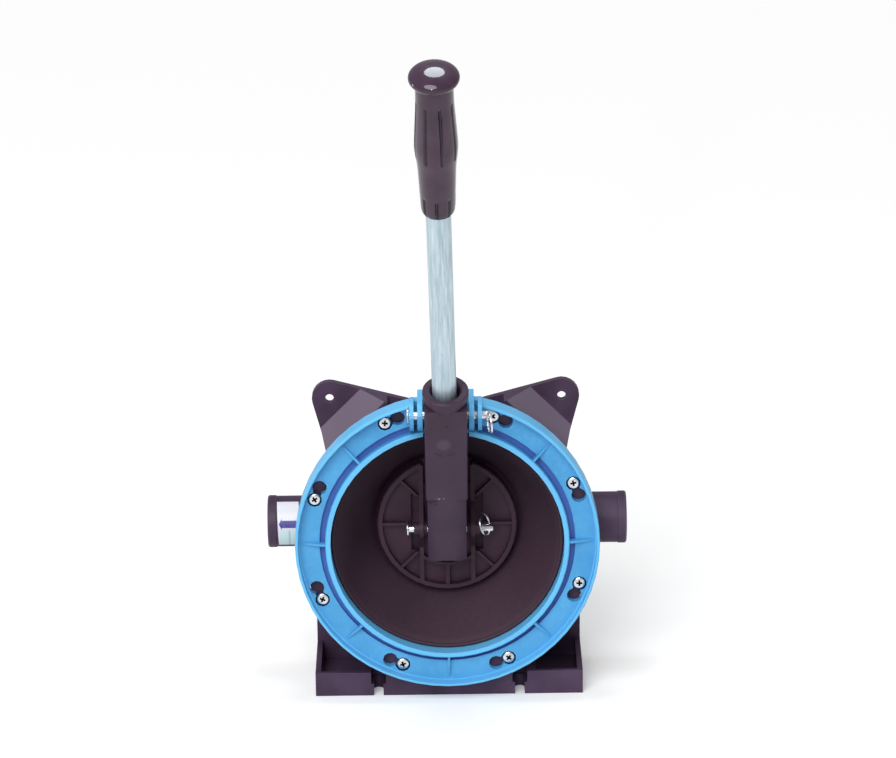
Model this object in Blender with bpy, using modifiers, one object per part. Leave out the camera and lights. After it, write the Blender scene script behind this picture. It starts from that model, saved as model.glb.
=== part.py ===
"""Manual diaphragm bilge pump: bowl on a deck foot, clamp ring, rocking lever.

Units are metres, +Z is up and -Y is the front. The origin is the middle of the
foot's underside. Depths are measured back from the clamp ring's front rim.
"""
import math
import bmesh
import bpy
from mathutils import Matrix, Vector

GAP = 0.0003
MERGE = 0.000002
RUNNING = 0.0001

# Bowl and its clamping flange
BOWL_R = 0.091
BOWL_WALL = 0.006
BOWL_FILLET = 0.003
BACK_DEPTH = 0.088
BACK_PLATE = 0.0055
BACK_WALL = 0.008
BACK_OVERLAP = 0.001
SHOULDER_RISE = 0.024
SHOULDER_IN = 0.005
SHOULDER_FOOT = 0.011
BASE_IN = 0.018
CAVITY_LEDGE = 0.001
CAVITY_MOUTH = 0.024
CAVITY_RISE = 0.020
CAVITY_IN = 0.007
CAVITY_BASE_IN = 0.021
CAVITY_DEPTH = BACK_DEPTH - BACK_WALL
FLANGE_R = BOWL_R + 0.0154
FLANGE_THICK = 0.0117
WEB_X = 0.036
WEB_THICK = 0.004

# Clamp ring
RING_R = FLANGE_R + 0.0036
RIM_WALL = 0.002
SKIRT_PLAY = 0.0006
RING_FACE = 0.008
RING_FLANGE = 0.006
SKIRT_DEPTH = 0.017
COLLAR_IN_R = BOWL_R - 0.0065
COLLAR_OUT_R = COLLAR_IN_R + 0.0038
COLLAR_FRONT = 0.002
GROOVE_R = COLLAR_OUT_R + 0.0041
GROOVE_DEPTH = 0.0025
RIB_END_R = RING_R - 0.005
RIB_THICK = 0.0016
RIB_ROOT = 0.003
RIB_TOP_DROP = 0.0012
RIB_FLAT = 0.002
RIB_ANGLES = (0, 45, 135, 180, 225, 270, 315)
RIM_NOTCH_IN = 0.004
COLLAR_NOTCH_IN = 0.005
COLLAR_NOTCH_DROP = 0.0013
EDGE = 0.0008

# Deck foot
AXIS_HEIGHT = RING_R + 0.0138
FOOT_HALF_WIDTH = BOWL_R + 0.007
FOOT_SETBACK = 0.018
FOOT_DEPTH = BACK_DEPTH - FOOT_SETBACK
FOOT_HEIGHT = 0.0179
FOOT_FLOOR = 0.0045
FOOT_WALL = 0.004
SLOT_X = 0.0518
SLOT_REACH = 0.0125
SLOT_R = 0.0035
SLOT_HEAD_R = 0.0055
SLOT_SEAT = 0.009
SLOT_BOSS = 0.0095

# Bulkhead ears
EAR_X = BOWL_R - 0.006
EAR_Z = EAR_X
EAR_R = 0.013
EAR_HOLE_R = 0.00325
EAR_SLOPE = math.radians(15.0)
EAR_CUT = BOWL_R + 0.009
RAMP_SETBACK = 0.011
RAMP_HEIGHT = 0.016
SIDE_PANEL_LOW = 0.024
SKIRT_PANEL_TOP = 0.055

# Hose ports
PORT_DEPTH = BACK_DEPTH * 5 / 8
PORT_R = 0.0187
PORT_BAND_R = 0.0192
PORT_BAND = 0.006
PORT_CHAMFER = 0.001
PORT_ROOT = BOWL_R - 0.011
PORT_REACH = BOWL_R + 0.040
PORT_BORE_R = 0.0138
CHAMBER_R = 0.0152
CHAMBER_REACH = PORT_REACH - 0.019

# Valves
SEAT_IN = BOWL_R - 0.004
SEAT_THICK = 0.0035
SEAT_HOLE_R = 0.010
FLAP_R = 0.0126
FLAP_THICK = 0.0022
FLAP_BEAD_R = 0.0012
FLAP_BEAD_HALF = 0.004
FLAP_HINGE_RISE = 0.0127

# Ring screws and their keyholes
SCREW_COUNT = 8
SCREW_CIRCLE_R = BOWL_R + 0.010
SCREW_START = math.radians(22.5 + 3.1)
KEY_TURN = math.radians(5.65)
KEY_R = 0.0054
KEY_SLOT_R = 0.0031
SCREW_HEAD_R = 0.0047
SCREW_HEAD = 0.003
SCREW_R = 0.0025
SCREW_LENGTH = 0.013
SCREW_HOLE = 0.0107

# Pivot lugs on the ring
LUG_R = 0.011
LUG_INNER_X = 0.0165
LUG_INNER = 0.0037
LUG_SPACE = 0.0026
LUG_OUTER = 0.0029
LUG_DROP = 0.0055
PIVOT_DEPTH = -0.009
PIVOT_RISE = RING_R - 0.0075
PIN_R = 0.003
PIN_HEAD_R = 0.0062
PIN_HEAD = 0.002
PIVOT_PIN_REACH = 0.033
PIVOT_RING_X = 0.0296
PIVOT_RING_ROLL = math.radians(23.6)
PIVOT_RING_SWING = math.radians(-10.0)

# Lever, in its own frame: origin on the pivot, +Z towards the handle
LEVER_HALF = 0.0151
LEVER_LOW_HALF = 0.01395
LEVER_FACE = 0.0275
LEVER_BACK = 0.0075
LEVER_NAPE = 0.00185
LEVER_TOP = 0.028
LEVER_STEP = 0.0569
LEVER_TAIL = 0.0088
LEVER_CROWN_R = 0.022
LEVER_CORNER = 0.0045
LEVER_WALL = 0.0035
LEVER_FRONT_WALL = 0.0085
CHANNEL_TOP = 0.021
SOCKET_OFFSET = 0.0145
SOCKET_R = 0.01635
RIM_RISE = 0.0376
RIM_BAND = 0.0057
RIM_TAPER = 0.0079
SOCKET_DEPTH = 0.052
SOCKET_FLOOR_R = 0.00895
SOCKET_MOUTH_R = 0.0107
SOCKET_CHAMFER = 0.0012
PIN_SLOT_SIDE = 0.00125
PIN_SLOT_END = 0.0006
LEVER_IN = math.radians(3.0)

# Diaphragm and its plates
RUBBER = 0.003
BEAD_R = BOWL_R + 0.0057
CREST_DEPTH = 0.0098
CREST_SETBACK = 0.0012
CONE_TOP_SETBACK = 0.0052
CONE_FOOT_R = 0.054
CONE_FOOT_RISE = 0.0038
PLATE_R = 0.0511
PLATE_FRONT = BACK_DEPTH / 2
PLATE_THICK = 0.013
PLATE_RIM = 0.0037
SECTOR_DEPTH = 0.0055
CHANNEL_DEPTH = 0.0088
POCKET_DEPTH = 0.0100
CLEVIS_IN_X = 0.0172
CLEVIS_WALL = 0.0031
CLEVIS_EAR_R = 0.0078
CLEVIS_EAR_SPREAD = 0.010
CLEVIS_BOSS_R = 0.0052
CLEVIS_BOSS_IN_X = 0.0146
CLEVIS_BOSS_OUT_X = 0.0242
CLEVIS_POCKET_X = 0.0264
CLEVIS_POCKET_Z = 0.0218
PLATE_RIB = 0.002
PLATE_RIB_ANGLES = (45, 135, 225, 315)
CHANNEL_START = 0.030
HUB_ARC_R = 0.032
LOWER_PIN_DEPTH = PLATE_FRONT - 0.009
LOWER_PIN_REACH = 0.0336
LOWER_PIN_HEAD_X = 0.028
LOWER_RING_X = 0.031
LOWER_RING_ROLL = math.radians(-15.7)
LOWER_RING_SWING = math.radians(-28.4)
INNER_PLATE_R = 0.048
INNER_PLATE = 0.006
PLATE_SCREW_CIRCLE_R = 0.036
PLATE_SCREW_ANGLES = (22.5, 157.5, 202.5, 337.5)
PLATE_SCREW_GRIP = 0.0055
PLATE_SCREW_HEAD = 0.0025

# Split rings
RING_WIRE = 0.0009
KEY_RING_R = 0.0082
RING_HOLE_R = 0.0016

# Handle, in its own frame: origin on the socket's floor, +Z along the tube
HANDLE_LEAN = math.radians(0.85)
TUBE_R = 0.0086
TUBE_WALL = 0.0016
TUBE_FOOT = 0.0005
TUBE_IN_GRIP = 0.080
GRIP_START = 0.2158
GRIP_SHAPE = ((0.0, 0.0108), (0.0035, 0.0118), (0.0176, 0.0127), (0.0573, 0.0147),
              (0.0882, 0.0132), (0.0985, 0.0129))
KNOB_R = 0.0173
KNOB_HALF = 0.0074
KNOB_RISE = 0.1133

# Flow label on the outlet port
LABEL_CLEAR = 0.0012
LABEL_THICK = 0.0003
LABEL_TOP = 69.0
LABEL_SPAN = 128.0

# Facets round each kind of round shape
BOWL_STEPS = 48
RING_STEPS = 56
PLATE_STEPS = 40
PORT_STEPS = 24
BORE_STEPS = 28
PIN_STEPS = 20
SMALL_STEPS = 16
BEAD_STEPS = 12
SCREW_STEPS = 10
HOLE_STEPS = 8

RING_FRONT_Y = -(FOOT_SETBACK + FOOT_DEPTH / 2)
LEVER_TILT = math.atan2(LOWER_PIN_DEPTH - PIVOT_DEPTH, PIVOT_RISE)
PIN_REACH = PIVOT_RISE / math.cos(LEVER_TILT)
PIN_REACH_MAX = PIVOT_RISE / math.cos(LEVER_TILT + LEVER_IN)
LEVER_END = PIN_REACH + LEVER_TAIL
LEVER_NOSE = LEVER_END - LEVER_CORNER
SEAT_DEPTH = RING_FACE + RING_FLANGE + GAP
RING_CENTRE = Vector((0, RING_FRONT_Y, AXIS_HEIGHT))
PIVOT = Vector((0, RING_FRONT_Y + PIVOT_DEPTH, AXIS_HEIGHT + PIVOT_RISE))
LOWER_PIN = Vector((0, RING_FRONT_Y + LOWER_PIN_DEPTH, AXIS_HEIGHT))

PORT_CENTRE = RING_CENTRE + Vector((0, PORT_DEPTH, 0))
PIVOT_PIN_HEAD_X = LUG_INNER_X + LUG_INNER + LUG_SPACE + LUG_OUTER + GAP
SIDES = ((-1, "_left"), (1, "_right"))

# Local axes: a turned part faces the front, a side slab is drawn in Y and Z
FACE_FRONT = (math.pi / 2, 0, 0)
FACE_BACK = (-math.pi / 2, 0, 0)
SIDE_ON = (math.pi / 2, 0, math.pi / 2)
ALONG_X = (0, math.pi / 2, 0)

for old in list(bpy.data.objects):
    bpy.data.objects.remove(old)

PARTS = bpy.data.collections.new("bilge_pump")
CUTTERS = bpy.data.collections.new("cutters")
bpy.context.scene.collection.children.link(PARTS)
bpy.context.scene.collection.children.link(CUTTERS)


def finish_material(name, colour, roughness, metallic=0.0):
    """Return a new Principled material."""
    made = bpy.data.materials.new(name)
    made.use_nodes = True
    shader = made.node_tree.nodes["Principled BSDF"]
    shader.inputs["Base Color"].default_value = (*colour, 1.0)
    shader.inputs["Roughness"].default_value = roughness
    shader.inputs["Metallic"].default_value = metallic
    made.diffuse_color = (*colour, 1.0)
    return made


BODY_BLACK = ("body_black", (0.045, 0.035, 0.045), 0.5)
LEVER_BLACK = ("lever_black", (0.055, 0.042, 0.055), 0.45)
PLATE_BLACK = ("plate_black", (0.05, 0.04, 0.05), 0.5)
RING_BLUE = ("ring_blue", (0.06, 0.36, 0.70), 0.35)
RUBBER_BLACK = ("rubber_black", (0.022, 0.015, 0.022), 0.75)
STEEL = ("steel", (0.72, 0.72, 0.74), 0.25, 1.0)
GALVANISED = ("galvanised", (0.62, 0.67, 0.69), 0.35, 1.0)
GRIP_BLACK = ("grip_black", (0.03, 0.022, 0.03), 0.15)
LABEL_WHITE = ("label_white", (0.85, 0.86, 0.9), 0.4)


def add(name, mesh, look=None, place=(0, 0, 0), turn=(0, 0, 0), parent=None):
    """Put a mesh in the parts, or in the cutters when it has no look."""
    ob = bpy.data.objects.new(name, mesh)
    ob.location = place
    ob.rotation_euler = turn
    ob.parent = parent
    if look:
        PARTS.objects.link(ob)
        mesh.materials.append(finish_material(name + "_" + look[0], *look[1:]))
    else:
        CUTTERS.objects.link(ob)
        ob.hide_render = True
        ob.display_type = "WIRE"
    return ob


def guide(name, place):
    """Return an empty that carries a moving group."""
    ob = bpy.data.objects.new(name, None)
    ob.location = place
    PARTS.objects.link(ob)
    return ob


def smooth(ob, angle=35):
    """Apply the modifiers and shade smooth, with edges past the angle kept sharp."""
    graph = bpy.context.evaluated_depsgraph_get()
    shape = bpy.data.meshes.new_from_object(ob.evaluated_get(graph))
    bm = bmesh.new()
    bm.from_mesh(shape)
    bmesh.ops.remove_doubles(bm, verts=bm.verts, dist=MERGE)
    bmesh.ops.dissolve_degenerate(bm, dist=MERGE, edges=bm.edges)
    bm.to_mesh(shape)
    bm.free()
    ob.modifiers.clear()
    ob.data = shape
    shape.shade_smooth()
    shape.set_sharp_from_angle(angle=math.radians(angle))
    return ob


def cut(ob, tool, operation="DIFFERENCE"):
    """Cut, join or intersect an object with a tool."""
    step = ob.modifiers.new(tool.name, "BOOLEAN")
    step.operation = operation
    step.solver = "EXACT"
    step.object = tool
    return ob


def join(ob, tool):
    return cut(ob, tool, "UNION")


def box(name, low, high, look=None, place=(0, 0, 0), turn=(0, 0, 0), parent=None):
    """A box between two corners."""
    low = Vector(low)
    high = Vector(high)
    size = high - low
    bm = bmesh.new()
    bmesh.ops.create_cube(bm, size=1.0)
    bmesh.ops.scale(bm, vec=size, verts=bm.verts)
    bmesh.ops.translate(bm, vec=(low + high) / 2, verts=bm.verts)
    mesh = bpy.data.meshes.new(name)
    bm.to_mesh(mesh)
    bm.free()
    return add(name, mesh, look, place, turn, parent)


def rod(name, radius, low, high, sides=32, look=None, place=(0, 0, 0), turn=(0, 0, 0),
        parent=None):
    """A cylinder along its own Z, from low to high."""
    bm = bmesh.new()
    bmesh.ops.create_cone(bm, cap_ends=True, segments=sides, radius1=radius,
                          radius2=radius, depth=high - low)
    bmesh.ops.translate(bm, vec=(0, 0, (low + high) / 2), verts=bm.verts)
    mesh = bpy.data.meshes.new(name)
    bm.to_mesh(mesh)
    bm.free()
    return add(name, mesh, look, place, turn, parent)


def turned(name, profile, steps=64, look=None, place=(0, 0, 0), turn=(0, 0, 0),
           parent=None, ring=False):
    """Spin a profile of (radius, height) pairs about Z; a ring's profile is closed."""
    mesh = bpy.data.meshes.new(name)
    points = [(r, 0, z) for r, z in profile]
    edges = [(i, i + 1) for i in range(len(points) - 1)]
    if ring:
        edges.append((len(points) - 1, 0))
    mesh.from_pydata(points, edges, [])
    ob = add(name, mesh, look, place, turn, parent)
    step = ob.modifiers.new("turn", "SCREW")
    step.axis = "Z"
    step.steps = steps
    step.render_steps = steps
    step.use_merge_vertices = True
    step.merge_threshold = 10 * MERGE
    step.use_smooth_shade = True
    return ob


def slab(name, outline, low, high, look=None, place=(0, 0, 0), turn=(0, 0, 0),
         parent=None):
    """A flat outline drawn in X and Y, filled from low to high along Z."""
    curve = bpy.data.curves.new(name, "CURVE")
    curve.dimensions = "2D"
    curve.fill_mode = "BOTH"
    curve.extrude = (high - low) / 2
    spline = curve.splines.new("POLY")
    spline.points.add(len(outline) - 1)
    for point, (x, y) in zip(spline.points, outline):
        point.co = (x, y, 0, 1)
    spline.use_cyclic_u = True
    source = bpy.data.objects.new(name + "_outline", curve)
    CUTTERS.objects.link(source)
    graph = bpy.context.evaluated_depsgraph_get()
    mesh = bpy.data.meshes.new_from_object(source.evaluated_get(graph))
    bpy.data.objects.remove(source)
    bm = bmesh.new()
    bm.from_mesh(mesh)
    bmesh.ops.remove_doubles(bm, verts=bm.verts, dist=MERGE)
    bmesh.ops.recalc_face_normals(bm, faces=bm.faces)
    bmesh.ops.translate(bm, vec=(0, 0, (low + high) / 2), verts=bm.verts)
    bm.to_mesh(mesh)
    bm.free()
    return add(name, mesh, look, place, turn, parent)


def arc(x, y, radius, start, end, count):
    """Points on an arc, angles in degrees."""
    turns = [math.radians(start + (end - start) * i / count) for i in range(count + 1)]
    return [(x + radius * math.cos(t), y + radius * math.sin(t)) for t in turns]


def back_outline():
    """The back plate with both ears, drawn in X and Z about the bowl's axis."""
    slope = math.degrees(EAR_SLOPE)
    run = math.tan(EAR_SLOPE)
    side_x = EAR_X + EAR_R / math.cos(EAR_SLOPE) - EAR_Z * run
    top_z = EAR_Z + EAR_R / math.cos(EAR_SLOPE) - EAR_X * run
    right = arc(EAR_X, EAR_Z, EAR_R, 90 + slope, -slope, 8)
    right += [(side_x, 0), (side_x, -SIDE_PANEL_LOW)]
    right += [(FOOT_HALF_WIDTH, -SKIRT_PANEL_TOP), (FOOT_HALF_WIDTH, -AXIS_HEIGHT)]
    left = [(-x, z) for x, z in reversed(right)]
    return [(0, top_z)] + right + left


def ear_outline(side):
    """One ear, just inside the back plate's edge and buried in the bowl below."""
    slope = math.degrees(EAR_SLOPE)
    run = math.tan(EAR_SLOPE)
    radius = EAR_R - GAP
    low_z = EAR_Z / 2
    side_x = EAR_X + radius / math.cos(EAR_SLOPE) - (EAR_Z - low_z) * run
    inner_x = EAR_X / 2
    top_z = EAR_Z + radius / math.cos(EAR_SLOPE) - (EAR_X - inner_x) * run
    points = arc(EAR_X, EAR_Z, radius, 90 + slope, -slope, 8)
    points += [(side_x, low_z), (inner_x, low_z), (inner_x, top_z)]
    return [(side * x, z) for x, z in points]


def make_ear(body, side, tag):
    """Ramp from the ear's tip plate up to the bowl."""
    plate_front = BACK_DEPTH - BACK_PLATE
    ramp = slab("ear_ramp" + tag, ear_outline(side), -BACK_DEPTH + GAP,
                -plate_front + RAMP_HEIGHT, place=RING_CENTRE, turn=FACE_FRONT)
    hole_reach = math.hypot(EAR_X, EAR_Z)
    start = hole_reach - RAMP_SETBACK
    diagonal = math.atan2(EAR_Z, side * EAR_X)
    shave = box("ear_shave" + tag, (0, -EAR_CUT, 0), (EAR_CUT, EAR_CUT, EAR_CUT))
    slope = Matrix.Rotation(math.radians(-45), 4, "Y")
    at = Matrix.Translation((start, 0, -plate_front))
    sunk = Matrix.Translation((start, 0, -plate_front - GAP))
    spin = Matrix.Rotation(diagonal, 4, "Z")
    face = Matrix.Rotation(math.pi / 2, 4, "X")
    shave.matrix_world = Matrix.Translation(RING_CENTRE) @ face @ spin @ at @ slope
    tip = box("ear_tip" + tag, (0, -EAR_CUT / 2, 0), (EAR_CUT, EAR_CUT / 2, EAR_CUT))
    tip.matrix_world = Matrix.Translation(RING_CENTRE) @ face @ spin @ sunk
    cut(ramp, shave)
    cut(ramp, tip)
    join(body, ramp)


def pocket_spans():
    """Pockets from above, as low x, high x and setback from the foot's front."""
    outer = (SLOT_X + SLOT_BOSS + FOOT_WALL / 2, FOOT_HALF_WIDTH - FOOT_WALL, FOOT_WALL)
    middle = (SLOT_X - SLOT_BOSS, SLOT_X + SLOT_BOSS - FOOT_WALL / 2,
              SLOT_REACH + SLOT_HEAD_R + FOOT_WALL)
    inner = (WEB_THICK / 2, WEB_X - WEB_THICK / 2, FOOT_WALL)
    return (outer, middle, inner)


def make_foot():
    """Deck foot with open pockets and two front slots."""
    front = RING_FRONT_Y + FOOT_SETBACK
    back = front + FOOT_DEPTH
    above = FOOT_HEIGHT + EDGE
    foot = box("foot", (-FOOT_HALF_WIDTH, front, 0), (FOOT_HALF_WIDTH, back, FOOT_HEIGHT))
    for side, tag in SIDES:
        for index, (low_x, high_x, setback) in enumerate(pocket_spans()):
            ends = sorted((side * low_x, side * high_x))
            cut(foot, box("pocket_%d%s" % (index + 1, tag), (ends[0], front + setback, FOOT_FLOOR),
                          (ends[1], back - BACK_PLATE, above)))
        for kind, radius, low in (("slot", SLOT_R, -EDGE), ("slot_head", SLOT_HEAD_R, SLOT_SEAT)):
            outline = arc(0, SLOT_REACH, radius, 0, 180, 8)
            outline += [(-radius, -EDGE), (radius, -EDGE)]
            cut(foot, slab(kind + tag, outline, low, above, place=(side * SLOT_X, front, 0)))
    return foot


def make_webs(body):
    """Upright webs that carry the bowl on its foot."""
    front = RING_FRONT_Y + SEAT_DEPTH + FLANGE_THICK - EDGE
    back = RING_FRONT_Y + BACK_DEPTH - BACK_PLATE / 2
    for name, x in (("web_left", -WEB_X), ("web_middle", 0), ("web_right", WEB_X)):
        top = AXIS_HEIGHT - math.sqrt((BOWL_R - BOWL_WALL / 2) ** 2 - x ** 2)
        join(body, box(name, (x - WEB_THICK / 2, front, FOOT_FLOOR / 2),
                       (x + WEB_THICK / 2, back, top)))


def make_body():
    """Bowl, flange, ports, ears and foot as one moulding."""
    flange_back = SEAT_DEPTH + FLANGE_THICK
    body = turned("pump_body", [
        (0, -SEAT_DEPTH), (FLANGE_R - EDGE, -SEAT_DEPTH), (FLANGE_R, -SEAT_DEPTH - EDGE),
        (FLANGE_R, -flange_back + EDGE), (FLANGE_R - EDGE, -flange_back),
        (BOWL_R + BOWL_FILLET, -flange_back), (BOWL_R, -flange_back - BOWL_FILLET),
        (BOWL_R, SHOULDER_RISE - BACK_DEPTH), (BOWL_R - SHOULDER_IN, SHOULDER_FOOT - BACK_DEPTH),
        (BOWL_R - BASE_IN, BACK_OVERLAP - BACK_DEPTH), (0, BACK_OVERLAP - BACK_DEPTH),
    ], BOWL_STEPS, BODY_BLACK, RING_CENTRE, FACE_FRONT)
    back = slab("back_plate", back_outline(), -BACK_DEPTH, -BACK_DEPTH + BACK_PLATE,
                place=RING_CENTRE, turn=FACE_FRONT)
    join(body, back)
    join(body, make_foot())
    make_webs(body)
    for side, tag in SIDES:
        make_ear(body, side, tag)
    for side, tag in SIDES:
        turn = (0, side * math.pi / 2, 0)
        port = turned("port" + tag, [
            (0, PORT_REACH), (PORT_BAND_R - PORT_CHAMFER, PORT_REACH),
            (PORT_BAND_R, PORT_REACH - PORT_CHAMFER), (PORT_BAND_R, PORT_REACH - PORT_BAND),
            (PORT_R, PORT_REACH - PORT_BAND - PORT_CHAMFER / 2), (PORT_R, PORT_ROOT), (0, PORT_ROOT),
        ], PORT_STEPS, None, PORT_CENTRE, turn)
        join(body, port)
    wall_r = BOWL_R - BOWL_WALL
    cavity = turned("cavity", [
        (0, 0), (wall_r - CAVITY_LEDGE, 0),
        (wall_r - CAVITY_LEDGE, -SEAT_DEPTH - RUBBER - 2 * GAP),
        (wall_r, -CAVITY_MOUTH), (wall_r, CAVITY_RISE - CAVITY_DEPTH),
        (wall_r - CAVITY_IN, CAVITY_IN - CAVITY_DEPTH),
        (wall_r - CAVITY_BASE_IN, -CAVITY_DEPTH), (0, -CAVITY_DEPTH),
    ], BOWL_STEPS, None, RING_CENTRE, FACE_FRONT)
    cut(body, cavity)
    bead = rod("bead_seat", BEAD_R + GAP, -SEAT_DEPTH - RUBBER - GAP, 0, BOWL_STEPS,
               None, RING_CENTRE, FACE_FRONT)
    cut(body, bead)
    for side, tag in SIDES:
        turn = (0, side * math.pi / 2, 0)
        chamber = rod("chamber" + tag, CHAMBER_R, PORT_ROOT - CHAMBER_R, CHAMBER_REACH,
                      BORE_STEPS, None, PORT_CENTRE, turn)
        bore = rod("bore" + tag, PORT_BORE_R, CHAMBER_REACH - EDGE, PORT_REACH + EDGE,
                   BORE_STEPS, None, PORT_CENTRE, turn)
        cut(body, chamber)
        cut(body, bore)
        ear_at = RING_CENTRE + Vector((side * EAR_X, 0, EAR_Z))
        hole = rod("ear_hole" + tag, EAR_HOLE_R, -BACK_DEPTH - EDGE, -BACK_DEPTH + RAMP_HEIGHT,
                   SMALL_STEPS, None, ear_at, FACE_FRONT)
        cut(body, hole)
    for index in range(SCREW_COUNT):
        hole = rod("screw_hole_%d" % (index + 1), SCREW_R + GAP,
                   -SEAT_DEPTH - SCREW_HOLE, 0, HOLE_STEPS, None, screw_place(index), FACE_FRONT)
        cut(body, hole)
    return smooth(body, 30)


def screw_angle(index):
    return SCREW_START + index * 2 * math.pi / SCREW_COUNT


def screw_place(index):
    """Point on the bolt circle in the plane of the ring's front rim."""
    at = screw_angle(index)
    return RING_CENTRE + Vector((SCREW_CIRCLE_R * math.cos(at), 0, SCREW_CIRCLE_R * math.sin(at)))


def tangent_angle(point, centre, radius, side):
    """Angle in degrees on a circle where a line from the point touches it."""
    away = Vector(point) - Vector(centre)
    spread = math.acos(radius / away.length)
    return math.degrees(math.atan2(away.y, away.x) + side * spread) % 360


def lug_outline(top_rise):
    """A pivot lug drawn in Y and Z about the ring's front centre."""
    shelf = FLANGE_R + SKIRT_PLAY + GAP
    face = RING_FACE + RING_FLANGE - EDGE / 2
    back = SKIRT_DEPTH - EDGE / 4
    toe = (COLLAR_FRONT + EDGE, COLLAR_OUT_R - EDGE * 2)
    centre = (PIVOT_DEPTH, PIVOT_RISE)
    top = tangent_angle((back, top_rise), centre, LUG_R, 1)
    bottom = tangent_angle(toe, centre, LUG_R, -1)
    nose = arc(*centre, LUG_R, top, bottom, 9)
    return [(back, shelf), (back, top_rise)] + nose + [toe, (face, toe[1]), (face, shelf)]


def keyhole(name, index):
    """Cutter for one keyhole: large hole, neck and screw end."""
    reach = SCREW_CIRCLE_R * KEY_TURN
    neck = math.degrees(math.asin(KEY_SLOT_R / KEY_R))
    outline = arc(reach, 0, KEY_SLOT_R, -90, 90, 3)
    outline += arc(0, 0, KEY_R, neck, 360 - neck, 9)
    tool = slab(name, outline, -SEAT_DEPTH - EDGE, -RING_FACE + EDGE)
    face = Matrix.Rotation(math.pi / 2, 4, "X")
    spin = Matrix.Rotation(screw_angle(index) - KEY_TURN, 4, "Z")
    out = Matrix.Translation((SCREW_CIRCLE_R, 0, 0))
    along = Matrix.Rotation(math.pi / 2 + KEY_TURN / 2, 4, "Z")
    tool.matrix_world = Matrix.Translation(RING_CENTRE) @ face @ spin @ out @ along
    return tool


def rib_outline():
    """One rib drawn in radius and height, sloping from the collar to the rim."""
    root = COLLAR_OUT_R - 2 * GAP
    low = -RING_FACE - RIB_ROOT
    high = -COLLAR_FRONT - RIB_TOP_DROP
    return [(root, low), (root, high), (COLLAR_OUT_R + RIB_FLAT, high),
            (RIB_END_R, -RING_FACE + GAP), (RIB_END_R, -RING_FACE - EDGE), (GROOVE_R + EDGE, low)]


def make_ring():
    """Clamp ring with keyholes, ribs and pivot lugs."""
    back = -(RING_FACE + RING_FLANGE)
    groove = -(RING_FACE + GROOVE_DEPTH)
    rim_in = RING_R - RIM_WALL
    skirt_in = FLANGE_R + SKIRT_PLAY
    ring = turned("clamp_ring", [
        (RING_R, -EDGE), (RING_R, -SKIRT_DEPTH), (skirt_in, -SKIRT_DEPTH), (skirt_in, back),
        (COLLAR_IN_R, back), (COLLAR_IN_R, -COLLAR_FRONT),
        (COLLAR_OUT_R - EDGE, -COLLAR_FRONT), (COLLAR_OUT_R, -COLLAR_FRONT - EDGE),
        (COLLAR_OUT_R, groove), (GROOVE_R, groove), (GROOVE_R, -RING_FACE),
        (rim_in, -RING_FACE), (rim_in, 0), (RING_R - EDGE, 0),
    ], RING_STEPS, RING_BLUE, RING_CENTRE, FACE_FRONT, ring=True)
    notch_half = LUG_INNER_X + LUG_INNER + LUG_SPACE
    notch = box("rim_notch", (-notch_half, -EDGE, GROOVE_R + RIM_NOTCH_IN),
                (notch_half, RING_FACE, RING_R + EDGE), place=RING_CENTRE)
    cut(ring, notch)
    relief = box("collar_notch", (-LUG_INNER_X, -EDGE, COLLAR_IN_R - COLLAR_NOTCH_IN),
                 (LUG_INNER_X, RING_FACE + COLLAR_NOTCH_DROP, COLLAR_OUT_R + COLLAR_NOTCH_DROP),
                 place=RING_CENTRE)
    cut(ring, relief)
    for angle in RIB_ANGLES:
        rib = slab("ring_rib_%d" % angle, rib_outline(), -RIB_THICK / 2, RIB_THICK / 2)
        face = Matrix.Rotation(math.pi / 2, 4, "X")
        spin = Matrix.Rotation(math.radians(angle), 4, "Z")
        upright = Matrix.Rotation(math.pi / 2, 4, "X")
        rib.matrix_world = Matrix.Translation(RING_CENTRE) @ face @ spin @ upright
        join(ring, rib)
    inner_top = PIVOT_RISE + LUG_R
    for side, tag in SIDES:
        ears = (("inner_lug", LUG_INNER_X, LUG_INNER, inner_top),
                ("outer_lug", LUG_INNER_X + LUG_INNER + LUG_SPACE, LUG_OUTER, inner_top - LUG_DROP))
        for kind, start, width, top in ears:
            ends = sorted((side * start, side * (start + width)))
            lug = slab(kind + tag, lug_outline(top), ends[0], ends[1], None,
                       RING_CENTRE, SIDE_ON)
            join(ring, lug)
    for index in range(SCREW_COUNT):
        cut(ring, keyhole("keyhole_%d" % (index + 1), index))
        seat = rod("screw_seat_%d" % (index + 1), KEY_R, -RING_FACE - SCREW_HEAD - GAP,
                   -RING_FACE + EDGE, SCREW_STEPS, None, screw_place(index), FACE_FRONT)
        cut(ring, seat)
    hole = rod("pivot_hole", PIN_R + RUNNING, -PIVOT_PIN_REACH, PIVOT_PIN_REACH, PIN_STEPS, None,
               PIVOT, ALONG_X)
    cut(ring, hole)
    return smooth(ring, 30)


def make_screw(name, place, turn, head, length, head_r=SCREW_HEAD_R, parent=None):
    """Pan head screw: head above z = 0, shank below."""
    profile = [(0, head), (head_r * 0.65, head), (head_r, head * 0.4), (head_r, 0),
               (SCREW_R, 0), (SCREW_R, -length), (0, -length)]
    screw = turned(name, profile, SCREW_STEPS, STEEL, place, turn, parent)
    return smooth(screw, 40)


def make_ring_screws():
    for index in range(SCREW_COUNT):
        place = screw_place(index) + Vector((0, RING_FACE + SCREW_HEAD, 0))
        make_screw("ring_screw_%d" % (index + 1), place, FACE_FRONT, SCREW_HEAD, SCREW_LENGTH)


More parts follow.
